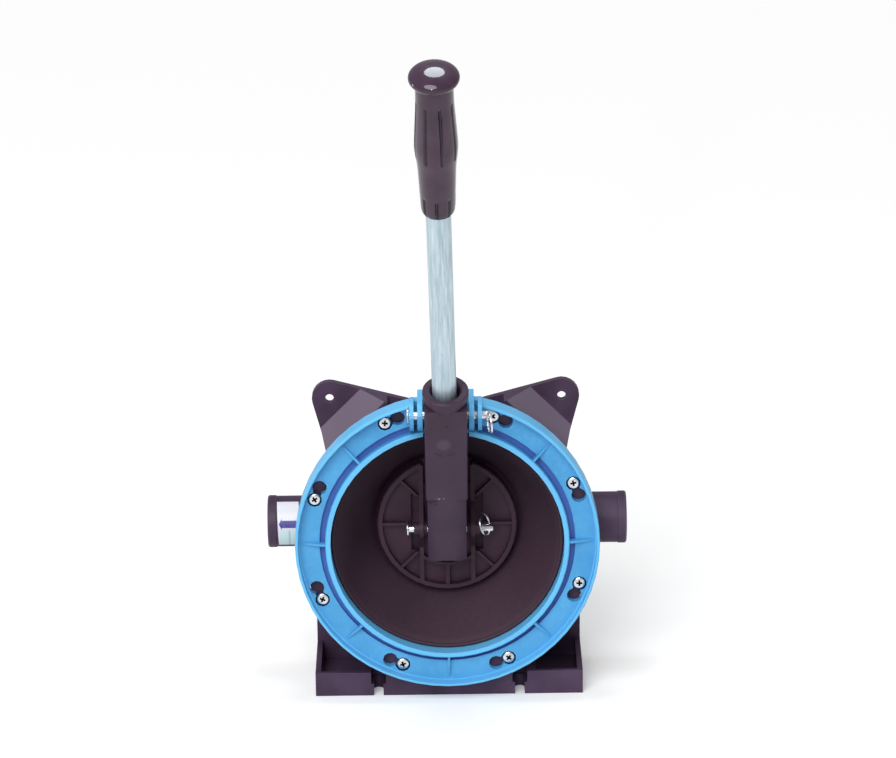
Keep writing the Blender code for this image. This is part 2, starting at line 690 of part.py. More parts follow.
def make_diaphragm():
    """Rubber cone, clamped at its edge by the ring and at its middle by the plates."""
    edge = SEAT_DEPTH
    middle = PLATE_FRONT + PLATE_THICK + GAP
    crest_r = COLLAR_IN_R - CREST_SETBACK
    top = Vector((COLLAR_IN_R - CONE_TOP_SETBACK, -edge - EDGE))
    foot = Vector((CONE_FOOT_R, -middle + CONE_FOOT_RISE))
    along = (top - foot).normalized()
    across = Vector((along.y, -along.x)) * RUBBER
    flat_r = foot.x - CONE_FOOT_RISE
    front = [(0, -middle), (flat_r, -middle), (foot.x - CONE_FOOT_RISE / 2, -middle + EDGE),
             tuple(foot), tuple(top), (crest_r - RUBBER * 0.6, -CREST_DEPTH - RUBBER * 0.3),
             (crest_r, -CREST_DEPTH), (COLLAR_IN_R - GAP, -CREST_DEPTH - RUBBER * 0.3),
             (COLLAR_IN_R - GAP, -edge), (BEAD_R, -edge)]
    back = [(BEAD_R, -edge - RUBBER), (COLLAR_IN_R - RUBBER * 0.3, -edge - RUBBER),
            tuple(top + across), tuple(foot + across),
            (flat_r + RUBBER / 2, -middle - RUBBER), (0, -middle - RUBBER)]
    rubber = turned("diaphragm", front + back, PLATE_STEPS, RUBBER_BLACK, RING_CENTRE, FACE_FRONT)
    for index, angle in enumerate(PLATE_SCREW_ANGLES):
        hole = rod("rubber_hole_%d" % (index + 1), SCREW_R + GAP, -middle - RUBBER - EDGE,
                   -middle + EDGE, HOLE_STEPS, None, plate_screw_place(angle), FACE_FRONT)
        cut(rubber, hole)
    return smooth(rubber, 50)


def plate_screw_place(angle):
    at = math.radians(angle)
    radius = PLATE_SCREW_CIRCLE_R
    return RING_CENTRE + Vector((radius * math.cos(at), 0, radius * math.sin(at)))


def clevis_outline():
    """Clevis wall and ear drawn in Y and Z about the ring's front centre."""
    floor = PLATE_FRONT + CHANNEL_DEPTH + EDGE
    reach = math.sqrt((PLATE_R - PLATE_RIM / 3) ** 2 - (CLEVIS_IN_X + CLEVIS_WALL) ** 2)
    foot_z = CLEVIS_EAR_R + CLEVIS_EAR_SPREAD
    ear = arc(LOWER_PIN_DEPTH, 0, CLEVIS_EAR_R, 130, 230, 7)
    return ([(floor, reach), (PLATE_FRONT, reach), (PLATE_FRONT, foot_z)] + ear
            + [(PLATE_FRONT, -foot_z), (PLATE_FRONT, -reach), (floor, -reach)])


def radial_box(name, angle, start, end, width, low, high):
    """A box along a radius of the bowl's axis, from low to high along local Z."""
    made = box(name, (start, -width / 2, low), (end, width / 2, high))
    face = Matrix.Rotation(math.pi / 2, 4, "X")
    spin = Matrix.Rotation(math.radians(angle), 4, "Z")
    made.matrix_world = Matrix.Translation(RING_CENTRE) @ face @ spin
    return made


def make_outer_plate(axis):
    """Ribbed plate with the two clevis walls for the lower pin."""
    back = PLATE_FRONT + PLATE_THICK
    face = -PLATE_FRONT
    floor = face - SECTOR_DEPTH
    rim_in = PLATE_R - PLATE_RIM
    corner = PLATE_THICK / 4
    plate = turned("outer_plate", [
        (0, floor), (rim_in, floor), (rim_in, face), (PLATE_R - EDGE, face), (PLATE_R, face - EDGE),
        (PLATE_R, -back + corner), (PLATE_R - corner, -back), (0, -back),
    ], PLATE_STEPS, PLATE_BLACK, RING_CENTRE - LOWER_PIN, FACE_FRONT, axis)
    for angle in PLATE_RIB_ANGLES:
        join(plate, radial_box("plate_rib_%d" % angle, angle, (CLEVIS_IN_X + EDGE) * math.sqrt(2),
                               rim_in + EDGE, PLATE_RIB, floor - EDGE, face - EDGE))
    for side, tag in SIDES:
        angle = 0 if side > 0 else 180
        join(plate, radial_box("side_rib" + tag, angle, CLEVIS_POCKET_X, rim_in + EDGE,
                               PLATE_RIB, floor - EDGE, face - EDGE))
    join(plate, radial_box("lower_rib", 270, HUB_ARC_R - PLATE_RIB / 2, rim_in + EDGE,
                           PLATE_RIB * 1.5, floor - EDGE, face - EDGE))
    inside = CLEVIS_IN_X + CLEVIS_WALL / 2
    span = math.degrees(math.asin(inside / HUB_ARC_R))
    wall = arc(0, 0, HUB_ARC_R, 270 - span, 270 + span, 7)
    wall += arc(0, 0, HUB_ARC_R - PLATE_RIB, 270 + span, 270 - span, 7)
    join(plate, slab("hub_arc", wall, floor - EDGE, face, None, RING_CENTRE, FACE_FRONT))
    channel_floor = PLATE_FRONT + CHANNEL_DEPTH
    cut(plate, box("lever_channel", (-inside, PLATE_FRONT - EDGE, CHANNEL_START),
                   (inside, channel_floor, PLATE_R + EDGE), place=RING_CENTRE))
    for side, tag in SIDES:
        ends = sorted((side * CLEVIS_IN_X, side * (CLEVIS_IN_X + CLEVIS_WALL)))
        join(plate, slab("clevis" + tag, clevis_outline(), *ends, None, RING_CENTRE, SIDE_ON))
        ends = sorted((side * (CLEVIS_IN_X + CLEVIS_WALL), side * CLEVIS_POCKET_X))
        cut(plate, box("clevis_pocket" + tag, (ends[0], PLATE_FRONT - EDGE, -CLEVIS_POCKET_Z),
                       (ends[1], PLATE_FRONT + POCKET_DEPTH, CLEVIS_POCKET_Z), place=RING_CENTRE))
    for side, tag in SIDES:
        ends = sorted((side * CLEVIS_BOSS_IN_X, side * CLEVIS_BOSS_OUT_X))
        join(plate, rod("clevis_boss" + tag, CLEVIS_BOSS_R, *ends, PIN_STEPS, None, LOWER_PIN, ALONG_X))
    cut(plate, rod("lower_pin_hole", PIN_R + RUNNING, -PLATE_R, PLATE_R, PIN_STEPS,
                   None, LOWER_PIN, ALONG_X))
    for index, angle in enumerate(PLATE_SCREW_ANGLES):
        tip = back + GAP - PLATE_SCREW_GRIP
        cut(plate, rod("plate_hole_%d" % (index + 1), SCREW_R + GAP, -back - EDGE, -tip, HOLE_STEPS,
                       None, plate_screw_place(angle), FACE_FRONT))
    return smooth(plate)


def make_inner_plate(axis):
    """Round backing plate on the wet side."""
    front = PLATE_FRONT + PLATE_THICK + RUBBER + 2 * GAP
    back = front + INNER_PLATE
    corner = INNER_PLATE / 4
    plate = turned("inner_plate", [
        (0, -front), (INNER_PLATE_R, -front), (INNER_PLATE_R, -back + corner),
        (INNER_PLATE_R - corner, -back), (0, -back),
    ], PLATE_STEPS, PLATE_BLACK, RING_CENTRE - LOWER_PIN, FACE_FRONT, axis)
    for index, angle in enumerate(PLATE_SCREW_ANGLES):
        cut(plate, rod("inner_hole_%d" % (index + 1), SCREW_R + GAP, -back - EDGE, -front + EDGE,
                       HOLE_STEPS, None, plate_screw_place(angle), FACE_FRONT))
    return smooth(plate)


def make_plate_screws(axis):
    seat = PLATE_FRONT + PLATE_THICK + RUBBER + 3 * GAP + INNER_PLATE
    length = INNER_PLATE + RUBBER + GAP + PLATE_SCREW_GRIP
    for index, angle in enumerate(PLATE_SCREW_ANGLES):
        place = plate_screw_place(angle) + Vector((0, seat, 0)) - LOWER_PIN
        make_screw("plate_screw_%d" % (index + 1), place, FACE_BACK, PLATE_SCREW_HEAD, length,
                   SCREW_HEAD_R, axis)


def make_pin(name, head_face, reach, hole_x, roll, parent, place=(0, 0, 0)):
    """Headed clevis pin along X with a cross hole for its split ring."""
    chamfer = PIN_R / 5
    pin = turned(name, [
        (0, reach), (PIN_R - chamfer, reach), (PIN_R, reach - chamfer), (PIN_R, -head_face),
        (PIN_HEAD_R, -head_face), (PIN_HEAD_R, -head_face - PIN_HEAD + chamfer),
        (PIN_HEAD_R - chamfer, -head_face - PIN_HEAD),
        (0, -head_face - PIN_HEAD),
    ], PIN_STEPS, STEEL, place, ALONG_X, parent)
    centre = Vector(place) + Vector((hole_x, 0, 0))
    hole = rod(name + "_cross_hole", RING_HOLE_R, -2 * PIN_R, 2 * PIN_R, HOLE_STEPS,
               None, centre, (roll, 0, 0), parent)
    cut(pin, hole)
    return smooth(pin)


def make_split_ring(name, hole_x, roll, swing, parent, place=(0, 0, 0)):
    """Split ring through a pin's cross hole, as one closed wire ring."""
    sag = KEY_RING_R - math.sqrt(KEY_RING_R ** 2 - PIN_R ** 2)
    wire = [(KEY_RING_R + x, z) for x, z in arc(0, 0, RING_WIRE, 90, -210, 5)]
    ring = turned(name, wire, PIN_STEPS, STEEL, ring=True)
    about_x = Matrix.Rotation(math.pi / 2, 4, "Y")
    hang = Matrix.Translation((0, sag / 2 - KEY_RING_R, 0))
    turn = Matrix.Rotation(roll, 4, "X") @ Matrix.Rotation(swing, 4, "Z")
    ring.parent = parent
    at = Matrix.Translation(Vector(place) + Vector((hole_x, 0, 0)))
    ring.matrix_basis = at @ turn @ hang @ about_x
    return smooth(ring, 60)


def lever_sections():
    """Cross sections in X and Y of the lever's block and of its crowned lower bar."""
    corner = LEVER_CORNER / 3
    block = arc(LEVER_HALF - corner, -LEVER_FACE + corner, corner, 0, -90, 3)
    block += [(-x, y) for x, y in reversed(block)]
    block += [(-LEVER_HALF, LEVER_BACK + EDGE), (LEVER_HALF, LEVER_BACK + EDGE)]
    half = math.degrees(math.asin(LEVER_LOW_HALF / LEVER_CROWN_R))
    bar = arc(0, LEVER_CROWN_R - LEVER_FACE, LEVER_CROWN_R, 270 - half, 270 + half, 10)
    bar += [(LEVER_LOW_HALF, LEVER_BACK + EDGE), (-LEVER_LOW_HALF, LEVER_BACK + EDGE)]
    return block, bar


def lever_sides():
    """Side views in Y and Z that trim those two sections."""
    nape = math.degrees(math.acos(LEVER_NAPE / LEVER_BACK))
    front = -LEVER_FACE - EDGE
    block = [(front, -LEVER_STEP), (front, LEVER_TOP), (LEVER_NAPE, LEVER_TOP)]
    block += arc(0, 0, LEVER_BACK, nape, 0, 6) + [(LEVER_BACK, -LEVER_STEP)]
    overlap = -LEVER_STEP + LEVER_CORNER
    bar = [(LEVER_BACK, overlap), (front, overlap), (front, -LEVER_NOSE)]
    bar += arc(-LEVER_FACE + LEVER_CORNER, -LEVER_NOSE, LEVER_CORNER, 180, 270, 5)
    bar += arc(LEVER_BACK - LEVER_CORNER, -LEVER_NOSE, LEVER_CORNER, 270, 360, 5)
    return block, bar


def make_lever(axis):
    """Rocking lever: socket block above, hollow bar with the pin slots below."""
    block_section, bar_section = lever_sections()
    block_side, bar_side = lever_sides()
    lever = slab("lever", block_section, -LEVER_STEP - EDGE, LEVER_TOP + EDGE, LEVER_BLACK,
                 parent=axis)
    cut(lever, slab("block_side", block_side, -LEVER_HALF - EDGE, LEVER_HALF + EDGE, turn=SIDE_ON,
                    parent=axis), "INTERSECT")
    bar = slab("lever_bar", bar_side, -LEVER_HALF, LEVER_HALF, turn=SIDE_ON, parent=axis)
    cut(bar, slab("bar_section", bar_section, -LEVER_END - EDGE, -LEVER_STEP + 2 * LEVER_CORNER,
                  parent=axis), "INTERSECT")
    join(lever, bar)
    at = (0, -SOCKET_OFFSET, 0)
    band = RIM_RISE - RIM_BAND
    block_front_r = LEVER_FACE - SOCKET_OFFSET
    join(lever, turned("rim_band", [
        (0, RIM_RISE), (SOCKET_R - EDGE, RIM_RISE), (SOCKET_R, RIM_RISE - EDGE), (SOCKET_R, band),
        (block_front_r, band - RIM_TAPER), (0, band - RIM_TAPER),
    ], PORT_STEPS, None, at, parent=axis))
    floor = RIM_RISE - SOCKET_DEPTH
    cut(lever, turned("socket", [
        (0, RIM_RISE + EDGE), (SOCKET_MOUTH_R + SOCKET_CHAMFER + EDGE, RIM_RISE + EDGE),
        (SOCKET_MOUTH_R, RIM_RISE - SOCKET_CHAMFER), (SOCKET_FLOOR_R, floor), (0, floor),
    ], PORT_STEPS, None, at, parent=axis))
    half = LEVER_LOW_HALF - LEVER_WALL
    cut(lever, box("channel", (-half, -LEVER_FACE + LEVER_FRONT_WALL, -LEVER_END + LEVER_WALL * 1.7),
                   (half, LEVER_BACK + 2 * EDGE, -CHANNEL_TOP), parent=axis))
    side = PIN_R + PIN_SLOT_SIDE
    top = -PIVOT_RISE + PIN_R + PIN_SLOT_END
    bottom = -PIN_REACH_MAX - PIN_R - PIN_SLOT_END
    slot = arc(0, top - side, side, 0, 180, 8) + arc(0, bottom + side, side, 180, 360, 8)
    cut(lever, slab("pin_slot", slot, -LEVER_HALF, LEVER_HALF, turn=SIDE_ON, parent=axis))
    cut(lever, rod("lever_pivot_hole", PIN_R + RUNNING, -2 * LEVER_HALF, 2 * LEVER_HALF, PIN_STEPS,
                   turn=ALONG_X, parent=axis))
    return smooth(lever)


def make_tube(axis):
    top = GRIP_START + TUBE_IN_GRIP
    inner = TUBE_R - TUBE_WALL
    tube = turned("handle_tube", [
        (TUBE_R, top), (TUBE_R, TUBE_FOOT), (inner, TUBE_FOOT), (inner, top),
    ], PORT_STEPS, GALVANISED, parent=axis, ring=True)
    return smooth(tube)


def rounded_through(points, count):
    """A smooth curve through points, as a Catmull-Rom spline."""
    ends = [points[0]] + list(points) + [points[-1]]
    result = []
    for a, b, c, d in zip(ends, ends[1:], ends[2:], ends[3:]):
        for step in range(count):
            t = step / count
            result.append(tuple(0.5 * (2 * q + (r - p) * t + (2 * p - 5 * q + 4 * r - s) * t * t
                                       + (3 * q - p - 3 * r + s) * t ** 3)
                                for p, q, r, s in zip(a, b, c, d)))
    return result + [tuple(points[-1])]


def make_grip(axis):
    """Moulded hand grip with its round knob."""
    waist = math.degrees(math.acos(GRIP_SHAPE[-1][1] / KNOB_R))
    knob = [(KNOB_R * math.cos(t), GRIP_START + KNOB_RISE + KNOB_HALF * math.sin(t))
            for t in (math.radians(90 - (90 + waist) * i / 7) for i in range(8))]
    stem = [(r, GRIP_START + h) for h, r in reversed(rounded_through(GRIP_SHAPE, 2))]
    bore = TUBE_R + GAP
    bore_top = GRIP_START + TUBE_IN_GRIP + GAP
    low = [(GRIP_SHAPE[0][1] - EDGE, GRIP_START - EDGE / 2), (bore, GRIP_START - EDGE / 2),
           (bore, bore_top), (0, bore_top)]
    knob[0] = (0, knob[0][1])
    grip = turned("hand_grip", knob + stem + low, PORT_STEPS, GRIP_BLACK, parent=axis)
    return smooth(grip)


def make_valve(side, tag, seat_low, flap_high):
    """One valve: seat ring in its chamber, rubber flap hinged above it."""
    turn = (0, side * math.pi / 2, 0)
    seat = turned(tag + "_valve_seat", [
        (CHAMBER_R - GAP, seat_low + SEAT_THICK), (CHAMBER_R - GAP, seat_low),
        (SEAT_HOLE_R, seat_low), (SEAT_HOLE_R, seat_low + SEAT_THICK),
    ], PORT_STEPS, PLATE_BLACK, PORT_CENTRE, turn, ring=True)
    smooth(seat)
    hinge_x = seat_low - GAP - FLAP_BEAD_R
    if flap_high:
        hinge_x = seat_low + SEAT_THICK + GAP + FLAP_BEAD_R
    hinge = guide(tag + "_flap_hinge", PORT_CENTRE + Vector((side * hinge_x, 0, FLAP_HINGE_RISE)))
    half = FLAP_THICK / 2
    flap = rod(tag + "_valve_flap", FLAP_R, -half, half, PIN_STEPS, RUBBER_BLACK,
               (0, 0, -FLAP_HINGE_RISE), ALONG_X, hinge)
    join(flap, box(tag + "_flap_tab", (-half, -FLAP_BEAD_HALF, -FLAP_R / 2),
                   (half, FLAP_BEAD_HALF, 0), parent=hinge))
    bead_end = FLAP_BEAD_HALF + EDGE
    join(flap, rod(tag + "_flap_bead", FLAP_BEAD_R, -bead_end, bead_end, BEAD_STEPS,
                   turn=FACE_FRONT, parent=hinge))
    smooth(flap)


def make_label():
    """Curved flow label on the outlet port."""
    inner = PORT_R + GAP
    outer = inner + LABEL_THICK
    start = 180 - LABEL_TOP
    outline = arc(0, 0, outer, start, start + LABEL_SPAN, 12)
    outline += arc(0, 0, inner, start + LABEL_SPAN, start, 12)
    high = PORT_REACH - PORT_BAND - 2 * GAP
    low = FLANGE_R + LABEL_CLEAR
    label = slab("flow_label", outline, -high, -low, LABEL_WHITE, PORT_CENTRE, SIDE_ON)
    return smooth(label)


make_body()
make_ring()
make_ring_screws()
make_diaphragm()

PLATE_AXIS = guide("plate_axis", LOWER_PIN)
make_outer_plate(PLATE_AXIS)
make_inner_plate(PLATE_AXIS)
make_plate_screws(PLATE_AXIS)
make_pin("lower_pin", LOWER_PIN_HEAD_X, LOWER_PIN_REACH, LOWER_RING_X, LOWER_RING_ROLL, PLATE_AXIS)
make_split_ring("lower_split_ring", LOWER_RING_X, LOWER_RING_ROLL, LOWER_RING_SWING, PLATE_AXIS)

make_pin("pivot_pin", PIVOT_PIN_HEAD_X, PIVOT_PIN_REACH, PIVOT_RING_X, PIVOT_RING_ROLL, None, PIVOT)
make_split_ring("pivot_split_ring", PIVOT_RING_X, PIVOT_RING_ROLL, PIVOT_RING_SWING, None, PIVOT)

# The lever and its handle are shaped upright, then set on the pivot
LEVER_AXIS = guide("lever_axis", (0, 0, 0))
make_lever(LEVER_AXIS)
HANDLE_AXIS = guide("handle_axis", (0, 0, 0))
make_tube(HANDLE_AXIS)
make_grip(HANDLE_AXIS)
HANDLE_AXIS.parent = LEVER_AXIS
HANDLE_AXIS.location = (0, -SOCKET_OFFSET, RIM_RISE - SOCKET_DEPTH)
HANDLE_AXIS.rotation_euler = (0, -HANDLE_LEAN, 0)
LEVER_AXIS.location = PIVOT
LEVER_AXIS.rotation_euler = (LEVER_TILT, 0, 0)

make_valve(1, "inlet", SEAT_IN, False)
make_valve(-1, "outlet", SEAT_IN, True)
make_label()
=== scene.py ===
"""Looks of a hand bilge pump: mouldings, rubber, steel and the studio round them.

Lengths are in metres. Colours are given as the eye reads them on screen, 0 to 255.
"""

import math

import bmesh
import bpy
from mathutils import Matrix, Vector


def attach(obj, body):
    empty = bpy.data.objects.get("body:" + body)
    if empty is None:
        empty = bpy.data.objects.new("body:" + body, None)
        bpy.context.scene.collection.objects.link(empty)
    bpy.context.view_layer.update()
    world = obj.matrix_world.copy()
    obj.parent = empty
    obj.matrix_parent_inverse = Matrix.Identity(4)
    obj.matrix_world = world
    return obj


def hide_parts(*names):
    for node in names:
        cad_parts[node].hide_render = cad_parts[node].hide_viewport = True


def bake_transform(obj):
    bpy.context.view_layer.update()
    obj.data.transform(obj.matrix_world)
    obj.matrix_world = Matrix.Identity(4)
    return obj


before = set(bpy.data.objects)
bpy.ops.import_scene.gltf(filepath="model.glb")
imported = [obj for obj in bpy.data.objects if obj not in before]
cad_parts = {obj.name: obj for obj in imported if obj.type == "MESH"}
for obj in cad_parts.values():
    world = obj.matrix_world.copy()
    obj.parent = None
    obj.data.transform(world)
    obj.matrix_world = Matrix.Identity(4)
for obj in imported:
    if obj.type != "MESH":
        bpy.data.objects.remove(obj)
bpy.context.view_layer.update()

# Where the pump's axes lie
RING_CENTRE = Vector((0, -0.053, 0.1238))
PIVOT = Vector((0, -0.062, 0.2263))
LOWER_PIN = Vector((0, -0.018, 0.1238))
PORT_AXIS = Vector((0, 0.002, 0.1238))
HANDLE_FOOT = (0, -0.0145, -0.0144)  # from the pivot, along the tilted lever
PINS_BACK, PINS_DOWN = 0.044, 0.1025  # from the pivot to the lower pin
LEVER_TILT = math.atan2(PINS_BACK, PINS_DOWN)
HANDLE_LEAN = math.radians(0.85)

# Sizes that more than one piece needs
SCREWS = 8
SCREW_CIRCLE = 0.101
SCREW_START = math.radians(25.6)
PIN_R = 0.003
GRIP_START = 0.2158
GRIP_BORE_DEPTH = 0.08
PORT_R = 0.0187
SHEET_R = 0.0190
FILM_THICK = 0.0003

# How close two points are before they become one
MERGE = 0.000002
PACKED_MERGE = 0.00001


def placed(origin, about_x=0.0, about_y=0.0):
    """Matrix that turns about X, then Y, and then moves to the origin given."""
    turn = Matrix.Rotation(about_y, 4, "Y") @ Matrix.Rotation(about_x, 4, "X")
    return Matrix.Translation(origin) @ turn


FRONT = placed(RING_CENTRE, math.pi / 2)
LEVER = placed(PIVOT, LEVER_TILT)
HANDLE = LEVER @ placed(HANDLE_FOOT, about_y=-HANDLE_LEAN)


# Finishes

def paint(red, green, blue):
    """A screen colour as the shader wants it."""
    def linear(level):
        level /= 255
        return level / 12.92 if level <= 0.04045 else ((level + 0.055) / 1.055) ** 2.4
    return (linear(red), linear(green), linear(blue), 1.0)


class Finish:
    """A node material with short names for the nodes that the finishes share."""

    def __init__(self, name):
        self.material = bpy.data.materials.new(name)
        self.material.use_nodes = True
        self.tree = self.material.node_tree
        self.shader = self.tree.nodes["Principled BSDF"]
        self.coords = self.node("ShaderNodeTexCoord").outputs["Object"]

    def node(self, kind, **values):
        made = self.tree.nodes.new(kind)
        for key, value in values.items():
            setattr(made, key, value)
        return made

    def wire(self, out, into):
        self.tree.links.new(out, into)

    # Where a point lies

    def spot(self, centre, turn=(0, 0, 0), scale=(1, 1, 1)):
        """Object coordinates seen from a centre, turned and scaled."""
        mapping = self.node("ShaderNodeMapping", vector_type="TEXTURE")
        mapping.inputs["Location"].default_value = centre
        mapping.inputs["Rotation"].default_value = turn
        mapping.inputs["Scale"].default_value = scale
        self.wire(self.coords, mapping.inputs["Vector"])
        return mapping.outputs["Vector"]

    def axes(self, centre, turn=(0, 0, 0)):
        """X, Y and Z seen from a centre and turned."""
        apart = self.node("ShaderNodeSeparateXYZ")
        self.wire(self.spot(centre, turn), apart.inputs["Vector"])
        return apart.outputs["X"], apart.outputs["Y"], apart.outputs["Z"]

    def marked(self, name):
        """1 on the faces or points that carry the mark with this name."""
        return self.node("ShaderNodeAttribute", attribute_name=name).outputs["Fac"]

    # Patterns

    def noise(self, scale, detail, rough=0.55, vector=None):
        made = self.node("ShaderNodeTexNoise")
        made.inputs["Scale"].default_value = scale
        made.inputs["Detail"].default_value = detail
        made.inputs["Roughness"].default_value = rough
        self.wire(vector or self.coords, made.inputs["Vector"])
        return made.outputs["Fac"]

    def span(self, value, low, high, to_low=0.0, to_high=1.0):
        """0 at low and 1 at high, or the two numbers given."""
        made = self.node("ShaderNodeMapRange")
        ends = (("From Min", low), ("From Max", high), ("To Min", to_low), ("To Max", to_high))
        for key, number in ends:
            made.inputs[key].default_value = number
        self.wire(value, made.inputs["Value"])
        return made.outputs["Result"]

    def drop(self, value, low, high):
        """1 up to low, falling to 0 at high."""
        return self.span(value, low, high, 1.0, 0.0)

    def band(self, value, low, high, blur):
        """1 where low < value < high, falling to 0 over blur."""
        return self.times(self.span(value, low - blur, low + blur),
                          self.drop(value, high - blur, high + blur))

    def math(self, operation, *values, clamp=False):
        """The result of a sum on sockets and numbers."""
        made = self.node("ShaderNodeMath", operation=operation, use_clamp=clamp)
        for socket, value in zip(made.inputs, values):
            if isinstance(value, (int, float)):
                socket.default_value = value
            else:
                self.wire(value, socket)
        return made.outputs["Value"]

    def times(self, first, second):
        return self.math("MULTIPLY", first, second)

    def less(self, first, second):
        return self.math("SUBTRACT", first, second)

    def either(self, first, second):
        """1 where the first or the second is 1."""
        return self.math("ADD", first, second, clamp=True)

    def length(self, across, up):
        squares = self.math("ADD", self.times(across, across), self.times(up, up))
        return self.math("SQRT", squares)

    # Colour and surface

    def mix(self, share, first, second):
        """Second colour over the first where share is 1."""
        made = self.node("ShaderNodeMix", data_type="RGBA")
        self.wire(share, made.inputs["Factor"])
        for socket, colour in ((made.inputs[6], first), (made.inputs[7], second)):
            if isinstance(colour, tuple):
                socket.default_value = colour
            else:
                self.wire(colour, socket)
        return made.outputs[2]

    def tint(self, base, share, strength, colour):
        """Colour laid over the base where share is 1, as thick as strength."""
        return self.mix(self.times(share, strength), base, colour)

    def painted(self):
        """The colour wired in so far."""
        return self.shader.inputs["Base Color"].links[0].from_socket

    def colour(self, value):
        self.wire(value, self.shader.inputs["Base Color"])

    def rough(self, pattern, low, high):
        """Roughness that follows the middle of a noise pattern."""
        self.wire(self.span(pattern, 0.3, 0.7, low, high), self.shader.inputs["Roughness"])

    def bump(self, height, depth, strength):
        made = self.node("ShaderNodeBump")
        made.inputs["Strength"].default_value = strength
        made.inputs["Distance"].default_value = depth
        self.wire(height, made.inputs["Height"])
        self.wire(made.outputs["Normal"], self.shader.inputs["Normal"])

    def set(self, **values):
        for key, value in values.items():
            self.shader.inputs[key.replace("_", " ")].default_value = value


def moulding(name, body, lit, dark, rough):
    """Moulded plastic: cloudy colour, a fine spark grain and paler outer edges, partly rubbed
    wear and partly painted highlight.
    """
    look = Finish(name)
    cloud = look.noise(28.0, 4.0)
    grain = look.noise(900.0, 2.0)
    base = look.mix(look.span(cloud, 0.38, 0.68), dark, body)
    # Paler outer edges: partly rubbed wear, partly a painted highlight
    look.colour(look.tint(base, look.marked("outer_edge"), 0.6, lit))
    look.rough(cloud, *rough)
    look.bump(grain, 0.00006, 0.5)
    look.set(Specular_IOR_Level=0.25)
    return look


def body_black():
    """The body's moulding, with a painted highlight that makes the two ear ramps greyer."""
    look = moulding("body_black", body=paint(76, 58, 82), lit=paint(104, 90, 112),
                    dark=paint(60, 43, 64), rough=(0.42, 0.56))
    # Painted highlight: the ear ramps lighter, as if catching more light
    look.colour(look.tint(look.painted(), look.marked("ramp"), 0.8, paint(106, 94, 110)))
    return look.material


def plate_black():
    """The plates' and valve seats' moulding."""
    return moulding("plate_black", body=paint(60, 38, 54), lit=paint(78, 58, 72),
                    dark=paint(46, 27, 41), rough=(0.45, 0.6)).material


def lever_black():
    """The lever's moulding with a dark pip, and painted light: sheen and shade round a bulge,
    highlight and shadow at the step.
    """
    look = moulding("lever_black", body=paint(66, 48, 66), lit=paint(100, 82, 100),
                    dark=paint(56, 39, 56), rough=(0.4, 0.52))
    x, y, z = look.axes(PIVOT, (LEVER_TILT, 0, 0))

    def distance(across, up):
        return look.length(look.less(x, across), look.less(z, up))

    # On the front face, round the pivot: a dark pip, and a painted sheen above a painted shadow
    # arc where a bulge would catch light
    pip_at, bulge_sheen_at, arc_at = (0.0010, 0.0143), (-0.0017, -0.0032), (-0.0012, -0.0062)
    pip_r, bulge_sheen_r, arc_r = (0.0006, 0.0012), (0.0036, 0.0062), (0.0070, 0.0086)
    front = look.span(y, -0.0262, -0.0266)
    pip = look.times(look.drop(distance(*pip_at), *pip_r), front)
    bulge_sheen = look.times(look.drop(distance(*bulge_sheen_at), *bulge_sheen_r), front)
    arc = look.times(look.band(distance(*arc_at), *arc_r, blur=0.0010),
                     look.drop(z, -0.0118, -0.0100))
    arc = look.times(arc, front)

    # At the step, a painted highlight along its edge, and painted shadow on the bar just below it
    step_z, step_glint_x = (-0.0563, -0.0549), (-0.0088, -0.0018)
    step_shadow_z, step_shadow_x = (-0.0634, -0.0584), (-0.0130, -0.0068)
    step = look.times(look.band(z, *step_z, blur=0.0004), look.band(x, *step_glint_x, blur=0.0008))
    step_glint = look.times(step, look.span(look.noise(500.0, 2.0), 0.48, 0.56))
    step_shadow = look.times(look.band(z, *step_shadow_z, blur=0.0005), look.band(x, *step_shadow_x, blur=0.0010))
    step_shadow = look.times(step_shadow, look.span(y, -0.0150, -0.0160))

    patchy = look.span(look.noise(300.0, 3.0), 0.36, 0.52)
    # The pip's own dark, with painted shade under the bulge and under the step
    dark = look.either(pip, look.times(look.either(arc, step_shadow), patchy))
    # Painted sheen on the bulge below the pivot
    base = look.tint(look.painted(), bulge_sheen, 0.3, paint(98, 82, 98))
    base = look.tint(base, dark, 0.8, paint(30, 16, 30))
    # Painted highlight in flecks along the step's edge
    look.colour(look.tint(base, step_glint, 0.7, paint(170, 156, 172)))
    return look.material


